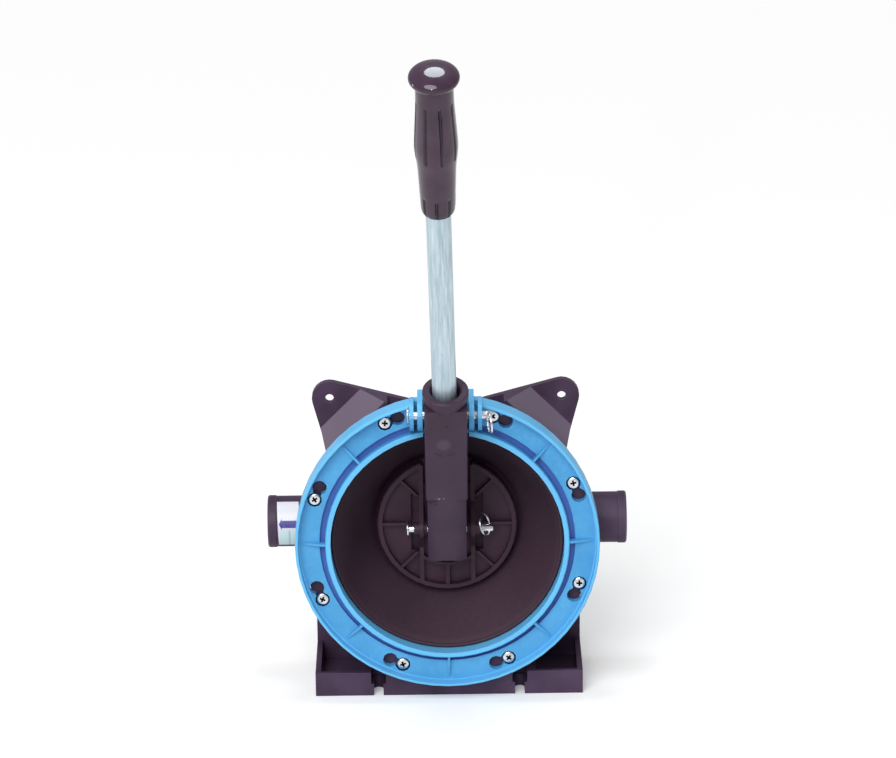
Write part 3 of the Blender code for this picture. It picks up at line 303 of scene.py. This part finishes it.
def ring_blue():
    """Blue glass-filled nylon, with painted highlights on its edges and rims, and painted
    violet-blue shade down in the groove and screw seats.
    """
    look = Finish("ring_blue")
    cloud = look.noise(22.0, 4.0)
    mottle = look.noise(260.0, 3.0)
    x, back, z = look.axes(RING_CENTRE)
    radius = look.length(x, z)
    base = look.mix(look.span(cloud, 0.35, 0.7), paint(72, 148, 200), paint(84, 162, 212))
    base = look.tint(base, look.span(mottle, 0.5, 0.75), 0.25, paint(100, 180, 226))

    groove_r, groove_floor = (0.0880, 0.0926), (0.0072, 0.0094)
    collar_r, rim_r = (0.0876, 0.0880), (0.1066, 0.1070)
    # Painted shade down in the groove
    groove = look.times(look.band(radius, *groove_r, blur=0.0003),
                        look.span(back, *groove_floor))
    base = look.tint(base, groove, 0.75, paint(62, 72, 160))
    # Painted highlight on the collar's inner wall and the outer rim
    rims = look.either(look.drop(radius, *collar_r), look.span(radius, *rim_r))
    base = look.tint(base, rims, 0.55, paint(112, 196, 242))
    # Painted highlight on the outer edges
    base = look.tint(base, look.marked("outer_edge"), 0.45, paint(132, 206, 244))

    # The turn is folded so that every screw seat lands on the same one
    half_pitch = math.pi / SCREWS
    seat_r, seat_floor = (0.0053, 0.0056), (0.0081, 0.0085)
    turn = look.less(look.math("ARCTAN2", z, x), SCREW_START)
    folded = look.math("WRAP", turn, half_pitch, -half_pitch)
    across = look.times(radius, look.math("SINE", folded))
    outward = look.less(look.times(radius, look.math("COSINE", folded)), SCREW_CIRCLE)
    # Painted shade down in each screw seat
    seat = look.times(look.drop(look.length(across, outward), *seat_r),
                      look.span(back, *seat_floor))
    look.colour(look.mix(seat, base, paint(30, 34, 60)))
    look.rough(cloud, 0.34, 0.46)
    look.bump(look.noise(700.0, 2.0), 0.00005, 0.45)
    look.set(Specular_IOR_Level=0.2)
    return look.material


def rubber():
    """Moulded black rubber with a painted sheen that gathers low down on the right."""
    look = Finish("rubber_black")
    cloud = look.noise(18.0, 4.0)
    fleck = look.noise(260.0, 4.0, 0.7)
    x, _, z = look.axes(RING_CENTRE)
    # Painted sheen, lighter towards the lower right
    low_right = look.less(look.times(x, 0.5), z)
    lower_right_sheen = look.times(look.span(low_right, -0.02, 0.085), look.span(fleck, 0.2, 0.6, 0.6, 1.0))
    base = look.mix(look.span(cloud, 0.4, 0.75), paint(38, 20, 34), paint(52, 33, 46))
    look.colour(look.mix(lower_right_sheen, base, paint(62, 42, 56)))
    look.rough(cloud, 0.62, 0.8)
    look.bump(look.noise(420.0, 4.0), 0.00012, 0.5)
    look.set(Specular_IOR_Level=0.35)
    return look.material


def steel():
    """Plated steel, with painted shade inside the screws' cross recesses."""
    look = Finish("steel")
    cloud = look.noise(160.0, 3.0)
    base = look.mix(look.span(cloud, 0.35, 0.7), paint(206, 206, 210), paint(240, 240, 242))
    # Painted shade in the cross recesses
    look.colour(look.mix(look.marked("recess"), base, paint(26, 20, 26)))
    look.rough(cloud, 0.16, 0.3)
    look.bump(look.noise(1500.0, 2.0), 0.00001, 0.3)
    look.set(Metallic=1.0)
    return look.material


def galvanised():
    """Drawn zinc-coated tube: long streaks down the tube and faint pits."""
    look = Finish("galvanised")
    stretch = (1.0, 1.0, 14.0)
    along = look.spot(HANDLE.translation, tuple(HANDLE.to_euler("XYZ")), stretch)
    streak = look.noise(520.0, 5.0, 0.6, along)
    wide = look.noise(120.0, 3.0, 0.5, along)
    pit = look.noise(900.0, 2.0)
    base = look.mix(look.span(streak, 0.35, 0.68), paint(168, 190, 200), paint(214, 228, 236))
    base = look.tint(base, look.span(wide, 0.5, 0.7), 0.5, paint(200, 222, 232))
    look.colour(look.tint(base, look.span(pit, 0.66, 0.74), 0.6, paint(110, 116, 126)))
    look.rough(streak, 0.3, 0.46)
    look.bump(streak, 0.00003, 0.5)
    look.set(Metallic=0.7)
    return look.material


def grip_black():
    """Dipped glossy black grip, with painted shade down in its flutes."""
    look = Finish("grip_black")
    cloud = look.noise(40.0, 3.0)
    base = look.mix(look.span(cloud, 0.4, 0.7), paint(54, 34, 52), paint(68, 46, 66))
    # Painted shade down in the flutes
    look.colour(look.mix(look.marked("flute"), base, paint(14, 4, 13)))
    look.rough(cloud, 0.3, 0.4)
    look.bump(look.noise(180.0, 2.0), 0.00004, 0.25)
    look.set(Specular_IOR_Level=0.05, Coat_Weight=1.0, Coat_Roughness=0.05, Coat_IOR=1.45)
    return look.material


def label_white():
    """White film label, cooler and greener below the arrow, with one grey streak there."""
    look = Finish("label_white")
    x, _, z = look.axes(PORT_AXIS)
    fibre = look.noise(420.0, 3.0)
    below_arrow, margin_x, streak_x = (-0.0012, 0.0006), (-0.1222, -0.1214), (-0.1156, -0.1144)
    low = look.times(look.drop(z, *below_arrow), look.span(x, *margin_x))
    streak = look.times(look.band(x, *streak_x, blur=0.0004), low)
    base = look.tint(paint(209, 209, 217), low, 0.9, paint(188, 216, 220))
    base = look.tint(base, streak, 0.6, paint(140, 158, 164))
    look.colour(look.tint(base, look.span(fibre, 0.55, 0.75), 0.25, paint(214, 214, 222)))
    look.rough(fibre, 0.3, 0.42)
    look.bump(fibre, 0.00003, 0.3)
    return look.material


def arrow_ink():
    """Violet printing ink, a little blotchy."""
    look = Finish("arrow_ink")
    blot = look.noise(600.0, 3.0)
    base = look.mix(look.span(blot, 0.35, 0.7), paint(62, 56, 128), paint(88, 84, 156))
    look.colour(base)
    look.rough(blot, 0.32, 0.42)
    look.bump(blot, 0.00002, 0.3)
    return look.material


BODY_BLACK = body_black()
PLATE_BLACK = plate_black()
LEVER_BLACK = lever_black()
RING_BLUE = ring_blue()
RUBBER_BLACK = rubber()
STEEL = steel()
GALVANISED = galvanised()
GRIP_BLACK = grip_black()
LABEL_WHITE = label_white()
ARROW_INK = arrow_ink()


# Shaping

def healed(bm, distance=MERGE):
    bmesh.ops.remove_doubles(bm, verts=bm.verts, dist=distance)
    bmesh.ops.dissolve_degenerate(bm, edges=bm.edges, dist=distance)
    bmesh.ops.recalc_face_normals(bm, faces=bm.faces)
    return bm


def lathe(profile, steps, closed=False):
    """Profile of radius and height turned about Z. A closed one is a ring's section."""
    bm = bmesh.new()
    verts = [bm.verts.new((r, 0, z)) for r, z in profile]
    edges = [bm.edges.new(pair) for pair in zip(verts, verts[1:])]
    if closed:
        edges.append(bm.edges.new((verts[-1], verts[0])))
    bmesh.ops.spin(bm, geom=verts + edges, cent=(0, 0, 0), axis=(0, 0, 1), angle=math.tau,
                   steps=steps, use_merge=True)
    return healed(bm)


def soften(bm, width):
    """Rounds every edge that turns by more than 30 degrees, and marks the outer ones."""
    outer_edge = bm.faces.layers.float.new("outer_edge")
    limit = math.radians(30)
    rows = 2
    edges = [e for e in bm.edges if e.is_manifold and e.calc_face_angle(0) > limit]
    rounded = bmesh.ops.bevel(bm, geom=edges, offset=width, offset_type="OFFSET", segments=rows,
                              profile=0.5, affect="EDGES", clamp_overlap=True, material=-1)
    for face in rounded["faces"]:
        if sum(e.calc_face_angle_signed(0) for e in face.edges) > 0:
            face[outer_edge] = 1.0


def mark_ramps(bm):
    """Marks the two big slopes from the ears up to the bowl, which get a painted highlight."""
    ramp = bm.faces.layers.float.new("ramp")
    smallest, alike = 0.0005, 0.995
    for face in bm.faces:
        side = math.copysign(0.5, face.calc_center_median().x)
        slope = Vector((side, -math.sqrt(0.5), 0.5))
        if face.normal.dot(slope) > alike and face.calc_area() > smallest:
            face[ramp] = 1.0


def meshed(name, bm):
    """Mesh with the working shape in it. The working shape is freed."""
    mesh = bpy.data.meshes.new(name)
    bm.to_mesh(mesh)
    bm.free()
    return mesh


def linked(name, data):
    """Object in the scene that carries the mesh, lamp or camera."""
    made = bpy.data.objects.new(name, data)
    bpy.context.scene.collection.objects.link(made)
    return made


def piece(name, bm, finish, body, place=None, stands_for=(), sharp=40.0):
    """Makes the finished object, with its place in its mesh."""
    if place is not None:
        bm.transform(place)
    mesh = meshed(name, bm)
    mesh.materials.append(finish)
    for face in mesh.polygons:
        face.use_smooth = True
    mesh.set_sharp_from_angle(angle=math.radians(sharp))
    made = linked(name, mesh)
    if body is not None:
        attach(made, body)
    if stands_for:
        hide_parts(*stands_for)
    return made


def dressed(node, finish):
    """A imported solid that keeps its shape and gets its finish."""
    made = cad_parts[node]
    made.data.materials.clear()
    made.data.materials.append(finish)
    for face in made.data.polygons:
        face.material_index = 0


def moulded(node, name, finish, body, width):
    """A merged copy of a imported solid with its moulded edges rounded."""
    bm = bmesh.new()
    bm.from_mesh(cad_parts[node].data)
    healed(bm, PACKED_MERGE)
    flat = math.radians(0.5)
    bmesh.ops.dissolve_limit(bm, angle_limit=flat, verts=bm.verts, edges=bm.edges)
    soften(bm, width)
    mark_ramps(bm)
    made = piece(name, bm, finish, body, stands_for=(node,))
    even = made.modifiers.new("even_shading", "WEIGHTED_NORMAL")
    even.keep_sharp = True
    even.weight = 100


# Mouldings

moulded("pump_body", "body_moulding", BODY_BLACK, "frame", 0.0005)
moulded("clamp_ring", "ring_moulding", RING_BLUE, "frame", 0.00035)
moulded("lever", "lever_moulding", LEVER_BLACK, "lever", 0.0006)
moulded("outer_plate", "plate_moulding", PLATE_BLACK, "plates", 0.0003)
for node_name in ("inner_plate", "inlet_valve_seat", "outlet_valve_seat"):
    dressed(node_name, PLATE_BLACK)
for node_name in ("inlet_valve_flap", "outlet_valve_flap"):
    dressed(node_name, RUBBER_BLACK)
for number in range(1, 5):
    dressed("plate_screw_%d" % number, STEEL)


# Diaphragm

def make_diaphragm():
    """Rubber cone with a rolled crest round its top and a flat middle.

    Points are a radius and how far forward of the ring's centre they lie.
    """
    rim = 0.0967
    clamp_front, clamp_back = -0.0143, -0.0173
    seat_front, seat_back = -0.0573, -0.0603
    crest_at, crest_r = Vector((0.0826, -0.0126)), 0.0014
    top, foot = Vector((0.0793, -0.0151)), Vector((0.054, -0.0535))
    thick = Vector((0.00252, -0.00163))
    cone_steps = 24

    turns = [math.radians(degrees) for degrees in range(0, 201, 20)]
    crest = [crest_at + crest_r * Vector((math.cos(turn), math.sin(turn))) for turn in turns]
    cone = [top.lerp(foot, step / cone_steps) for step in range(cone_steps + 1)]
    front = [(rim, clamp_front), (0.0840, clamp_front), *crest, *cone,
             (0.0528, -0.0555), (0.0515, -0.0567), (0.0500, seat_front), (0, seat_front)]
    back = [(0, seat_back), (0.0517, seat_back), *(point + thick for point in reversed(cone)),
            (0.0836, clamp_back), (rim, clamp_back)]
    bm = lathe(front + back, 128)
    rims = [e for e in bm.edges if e.is_boundary]
    bmesh.ops.bridge_loops(bm, edges=rims)
    healed(bm)
    made = piece("diaphragm_rubber", bm, RUBBER_BLACK, None, FRONT,
                 ("diaphragm",), 50.0)
    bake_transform(made)


make_diaphragm()


# Screws, pins and split rings

def pan_head(radius, rise, shank_r, shank):
    """Pan head with a cross recess; the head stands on z = 0 and the shank hangs below."""
    cells = 8
    half = radius * 0.62
    cell = 2 * half / cells
    arm = cell * 3.05
    crown_r = radius * 0.72
    fall = 0.09 / radius
    depth, taper = rise * 0.75, 0.86
    bm = bmesh.new()
    bmesh.ops.create_grid(bm, x_segments=cells, y_segments=cells, size=half)

    def in_cross(face):
        near, far = sorted(abs(reach) for reach in face.calc_center_median().xy)
        return near < cell and far < arm

    cross = [f for f in bm.faces if in_cross(f)]
    for v in bm.verts:
        if max(abs(v.co.x), abs(v.co.y)) > half * 0.99:
            v.co = v.co.normalized() * crown_r
        v.co.z = rise - fall * (v.co.x ** 2 + v.co.y ** 2)

    # Round the head's side and down the shank
    side = ((0.86, 0.86), (0.95, 0.66), (1.0, 0.42), (1.0, 0.06), (0.97, 0.0))
    rows = [(radius * out, rise * up) for out, up in side]
    rows += [(shank_r, 0.0), (shank_r, -shank)]
    loop = [e for e in bm.edges if e.is_boundary]
    for out, height in rows:
        made = bmesh.ops.extrude_edge_only(bm, edges=loop)["geom"]
        loop = [e for e in made if isinstance(e, bmesh.types.BMEdge)]
        for v in made:
            if isinstance(v, bmesh.types.BMVert):
                v.co = (*(v.co.xy.normalized() * out), height)
    bmesh.ops.edgeloop_fill(bm, edges=loop)

    sunk = bmesh.ops.extrude_face_region(bm, geom=cross)["geom"]
    bmesh.ops.delete(bm, geom=cross, context="FACES_ONLY")
    floor = [v for v in sunk if isinstance(v, bmesh.types.BMVert)]
    bmesh.ops.translate(bm, verts=floor, vec=(0, 0, -depth))
    bmesh.ops.scale(bm, verts=floor, vec=(taper, taper, 1))
    bmesh.ops.recalc_face_normals(bm, faces=bm.faces)
    # Faces round the recess floor carry the painted shade
    recess = bm.faces.layers.float.new("recess")
    deep = set(floor)
    for face in bm.faces:
        if any(v in deep for v in face.verts):
            face[recess] = 1.0
    return bm


def make_ring_screws():
    """Eight screws round the ring, each left at a turn of its own."""
    flange_back = 0.011
    first_spin, next_spin = math.radians(11), math.radians(37)
    for number in range(SCREWS):
        at = SCREW_START + math.tau * number / SCREWS
        out = Vector((SCREW_CIRCLE * math.cos(at), flange_back, SCREW_CIRCLE * math.sin(at)))
        spin = Matrix.Rotation(first_spin + next_spin * number, 4, "Z")
        place = placed(RING_CENTRE + out, math.pi / 2) @ spin
        name = "ring_screw_%d" % (number + 1)
        head = pan_head(radius=0.0047, rise=0.003, shank_r=0.0025, shank=0.013)
        piece("cross_" + name, head, STEEL, "frame", place, (name,))


def make_pin(name, node, centre, head_x, reach, body):
    """Clevis pin along X with a domed head on the left and a rounded end on the right."""
    head_r, head_thick = 0.0062, 0.002
    crown = -head_x - head_thick
    end = [(0, reach), (PIN_R - 0.0008, reach), (PIN_R - 0.0002, reach - 0.0003),
           (PIN_R, reach - 0.0009)]
    shoulder = [(PIN_R, -head_x), (head_r - 0.0002, -head_x), (head_r, -head_x - 0.0003)]
    dome = [(head_r, -head_x - head_thick * 0.62), (head_r * 0.85, crown + 0.0001),
            (head_r * 0.55, crown - 0.00012), (0, crown - 0.00015)]
    bm = lathe(end + shoulder + dome, 48)
    piece(name, bm, STEEL, body, placed(centre, about_y=math.pi / 2), (node,))


def make_split_ring(name, node, centre, hole_x, roll, swing, body):
    """Two flat turns of round wire, one lying on the other, hung in a pin's cross hole."""
    wire = 0.00055
    radius = 0.0082
    turns, steps = 1.94, 112
    rise = 2 * wire * 0.97
    bm = bmesh.new()
    made = bmesh.ops.create_circle(bm, segments=12, radius=wire, cap_ends=True,
                                   matrix=placed((radius, 0, -wire), math.pi / 2))
    bmesh.ops.spin(bm, geom=list(bm.faces), cent=(0, 0, 0), axis=(0, 0, 1),
                   angle=math.tau * turns, steps=steps, dvec=(0, 0, rise / steps))
    bmesh.ops.remove_doubles(bm, verts=made["verts"], dist=MERGE)
    bmesh.ops.recalc_face_normals(bm, faces=bm.faces)
    sag = radius - math.sqrt(radius ** 2 - PIN_R ** 2)
    hang = placed((0, sag / 2 - radius, 0), about_y=math.pi / 2)
    turn = Matrix.Rotation(roll, 4, "X") @ Matrix.Rotation(-swing, 4, "Z")
    place = Matrix.Translation(centre + Vector((hole_x, 0, 0))) @ turn @ hang
    piece(name, bm, STEEL, body, place, (node,), 60.0)


make_ring_screws()
make_pin("pivot_clevis_pin", "pivot_pin", PIVOT, 0.026, 0.033, "frame")
make_pin("lower_clevis_pin", "lower_pin", LOWER_PIN, 0.028, 0.0336, "plates")
make_split_ring("pivot_coil_ring", "pivot_split_ring", PIVOT, 0.0296, math.radians(23.6),
                math.radians(-10.0), "frame")
make_split_ring("lower_coil_ring", "lower_split_ring", LOWER_PIN, 0.031, math.radians(-42.7),
                math.radians(28.4), "plates")


# Handle

# Height above the grip's start and radius
GRIP_SHAPE = ((0.0008, 0.0108), (0.0035, 0.0117), (0.0176, 0.0123), (0.0390, 0.0132),
              (0.0520, 0.0146), (0.0620, 0.0147), (0.0882, 0.0132), (0.0985, 0.0129))
KNOB_R = 0.01725
KNOB_RISE = 0.1132
KNOB_HALF = 0.0073
FLUTES = 8
FLUTE_HALF = 0.0012
FLUTE_DEPTH = 0.0012
# Each row's lower end, upper end and shift round the grip, in flutes
FLUTE_ROWS = ((0.0480, 0.0955, 0.344), (0.0, 0.0160, 0.9))


def curve_through(points, count):
    """Points of a smooth curve that passes through the ones given."""
    ends = [points[0]] + list(points) + [points[-1]]
    result = []
    for a, b, c, d in zip(ends, ends[1:], ends[2:], ends[3:]):
        for step in range(count):
            t = step / count
            result.append(tuple(0.5 * (2 * q + (r - p) * t + (2 * p - 5 * q + 4 * r - s) * t * t
                                       + (3 * q - p - 3 * r + s) * t ** 3)
                                for p, q, r, s in zip(a, b, c, d)))
    return result + [tuple(points[-1])]


def flute_sink(height, turn, radius):
    """How far the grip's skin dips into a flute at a height and an angle."""
    sink = 0.0
    step = math.tau / FLUTES
    for low, high, shift in FLUTE_ROWS:
        off = ((turn + math.pi / 2 - shift * step + step / 2) % step - step / 2) * radius
        ends = max(low + FLUTE_HALF - height, height - high + FLUTE_HALF, 0.0)
        reach = math.hypot(off, ends) / FLUTE_HALF
        if reach < 1.0:
            sink = FLUTE_DEPTH * math.cos(reach * math.pi / 2) ** 0.7
    return sink


def make_grip():
    """Lathe-shaped grip with its flattened knob and its flutes."""
    bore_r, lip_r, inside = 0.0089, 0.0106, 0.0107
    bore_top = GRIP_START + GRIP_BORE_DEPTH + 0.0003
    lip = GRIP_START - 0.0004
    knob_steps = 26
    foot = [(0, bore_top), (bore_r, bore_top), (bore_r, lip), (0.0100, lip), (lip_r, GRIP_START)]
    shape = [(r, GRIP_START + h) for h, r in curve_through(GRIP_SHAPE, 14)]
    waist = math.acos(GRIP_SHAPE[-1][1] / KNOB_R)
    turns = [-waist + (math.pi / 2 + waist) * step / knob_steps for step in range(knob_steps)]
    knob = [(KNOB_R * math.cos(turn), GRIP_START + KNOB_RISE + KNOB_HALF * math.sin(turn))
            for turn in turns]
    knob.append((0, GRIP_START + KNOB_RISE + KNOB_HALF))
    bm = lathe(foot + shape + knob, 192)
    # How deep each point sits in a flute, for the painted shade there
    flute = bm.verts.layers.float.new("flute")
    for v in bm.verts:
        radius = math.hypot(v.co.x, v.co.y)
        if radius > inside:
            sink = flute_sink(v.co.z - GRIP_START, math.atan2(v.co.y, v.co.x), radius)
            v[flute] = sink / FLUTE_DEPTH
            v.co.x -= sink * v.co.x / radius
            v.co.y -= sink * v.co.y / radius
    piece("grip_moulding", bm, GRIP_BLACK, "handle", HANDLE, ("hand_grip",), 50.0)


def make_tube():
    """Handle tube with a small chamfer at its lower end."""
    bore_r, skin_r, chamfer = 0.0070, 0.0086, 0.0002
    low = 0.0005
    high = GRIP_START + GRIP_BORE_DEPTH
    bm = lathe([(bore_r, low), (skin_r - chamfer, low), (skin_r, low + chamfer), (skin_r, high),
                (bore_r, high)], 96, closed=True)
    piece("tube", bm, GALVANISED, "handle", HANDLE, ("handle_tube",))


make_grip()
make_tube()


# Flow label

def wrap_on_port(bm, lift):
    """Bends a flat sheet, X along the port and Y round it, round the port at a lift."""
    for v in bm.verts:
        turn = v.co.y / SHEET_R
        radius = PORT_R + lift + v.co.z
        v.co = PORT_AXIS + Vector((v.co.x, -radius * math.cos(turn), radius * math.sin(turn)))
    bmesh.ops.recalc_face_normals(bm, faces=bm.faces)


def make_label():
    """White film whose left edge slants inward toward the bottom."""
    left, wide, slant = -0.1234, 0.0158, 0.03
    low, high = math.radians(-43), math.radians(67)
    bm = bmesh.new()
    bmesh.ops.create_grid(bm, x_segments=12, y_segments=48, size=0.5)
    for v in bm.verts:
        along = (low + (v.co.y + 0.5) * (high - low)) * SHEET_R
        v.co = (left + (v.co.x + 0.5) * wide - slant * along, along, 0)
    bmesh.ops.solidify(bm, geom=list(bm.faces), thickness=-FILM_THICK)
    wrap_on_port(bm, FILM_THICK)
    piece("label_film", bm, LABEL_WHITE, "frame", None, ("flow_label",))


def make_arrow():
    """Printed arrow that points out of the port, cut into strips so that it can bend."""
    tip, neck, tail = -0.1226, -0.1206, -0.1090
    middle, half, barb = 0.0043, 0.0027, 0.0043
    ink_thick, clear = 0.00004, 0.00001
    strips = 15
    upper = [(tip, middle), (neck, middle + barb), (neck, middle + half), (tail, middle + half)]
    lower = [(tail, middle - half), (neck, middle - half), (neck, middle - barb)]
    bm = bmesh.new()
    bm.faces.new([bm.verts.new((x, y, 0)) for x, y in upper + lower])
    for strip in range(1, strips):
        level = middle - barb + strip * 2 * barb / strips
        shape = list(bm.verts) + list(bm.edges) + list(bm.faces)
        bmesh.ops.bisect_plane(bm, geom=shape, dist=MERGE, plane_co=(0, level, 0),
                               plane_no=(0, 1, 0))
    bmesh.ops.solidify(bm, geom=list(bm.faces), thickness=-ink_thick)
    wrap_on_port(bm, 2 * FILM_THICK + clear)
    piece("flow_arrow", bm, ARROW_INK, "frame")


make_label()
make_arrow()


# Studio

def make_floor():
    """Plain white floor that glows faintly to the camera."""
    reach, glow = 30, 0.16
    bm = bmesh.new()
    bmesh.ops.create_grid(bm, x_segments=1, y_segments=1, size=reach)
    mesh = meshed("floor", bm)
    floor = linked("floor", mesh)
    look = Finish("floor_white")
    look.set(Base_Color=(0.96, 0.96, 0.96, 1), Roughness=0.9, Emission_Color=(1, 1, 1, 1))
    seen = look.node("ShaderNodeLightPath").outputs["Is Camera Ray"]
    look.wire(look.times(seen, glow), look.shader.inputs["Emission Strength"])
    mesh.materials.append(look.material)


def aimed(direction):
    """Rotation that points a lamp along the direction."""
    return Vector(direction).to_track_quat("-Z", "Y").to_euler()


def make_lamp(name, place, aim, size, watts, tint=(1, 1, 1)):
    """Round or oval area lamp."""
    data = bpy.data.lights.new(name, "AREA")
    data.shape = "ELLIPSE"
    data.size, data.size_y = size
    data.energy = watts
    data.color = tint
    lamp = linked(name, data)
    lamp.location = place
    lamp.rotation_euler = aimed(Vector(aim) - Vector(place))


def make_sun():
    """Wide, even daylight from above the camera's left shoulder."""
    data = bpy.data.lights.new("sun", "SUN")
    data.energy = 2.2
    data.angle = math.radians(40)
    linked("sun", data).rotation_euler = aimed((0.22, 0.75, -0.62))


def make_world():
    """Even white light from all round."""
    world = bpy.data.worlds.new("studio")
    bpy.context.scene.world = world
    world.use_nodes = True
    back = world.node_tree.nodes["Background"]
    back.inputs["Color"].default_value = (1, 1, 1, 1)
    back.inputs["Strength"].default_value = 0.42


def make_camera():
    """Looks 21 degrees down at the ring, as the photograph does.

    The focal length is in pixels, as are the ring centre's distances from the picture's middle.
    """
    tilt = math.radians(21.0)
    roll = math.radians(-0.75)
    distance = 3
    mm_per_pixel = 0.7205
    ring_below, ring_beside = 166.8, 2.9
    photo_width, sensor_width = 896, 36
    focal = 1000 * distance / mm_per_pixel
    drop = math.atan(ring_below / focal)
    swing = math.atan(ring_beside / focal)
    data = bpy.data.cameras.new("camera")
    data.sensor_width = sensor_width
    data.lens = focal * math.cos(drop) * sensor_width / photo_width
    data.clip_end = 100
    camera = linked("camera", data)
    place = RING_CENTRE + Vector((0, -distance * math.cos(tilt), distance * math.sin(tilt)))
    camera.matrix_world = (Matrix.Translation(place) @ Matrix.Rotation(-swing, 4, "Z")
                           @ Matrix.Rotation(math.pi / 2 - (tilt - drop), 4, "X")
                           @ Matrix.Rotation(roll, 4, "Z"))
    bpy.context.scene.camera = camera


make_floor()
make_sun()
make_lamp("knob_softbox", place=(-0.004, -0.085, 0.88), aim=(0, -0.19, 0.53), size=(0.21, 0.22),
          watts=1.4, tint=(0.84, 0.96, 1.0))
make_lamp("flash", place=(-0.35, -2.3, 1.1), aim=(0, -0.1, 0.2), size=(0.12, 0.09), watts=4)
make_lamp("side_flash", place=(-2.0, 0.05, 0.56), aim=(0, -0.15, 0.5), size=(0.18, 0.18), watts=4)
make_world()
make_camera()
bpy.context.scene.view_settings.view_transform = "Standard"
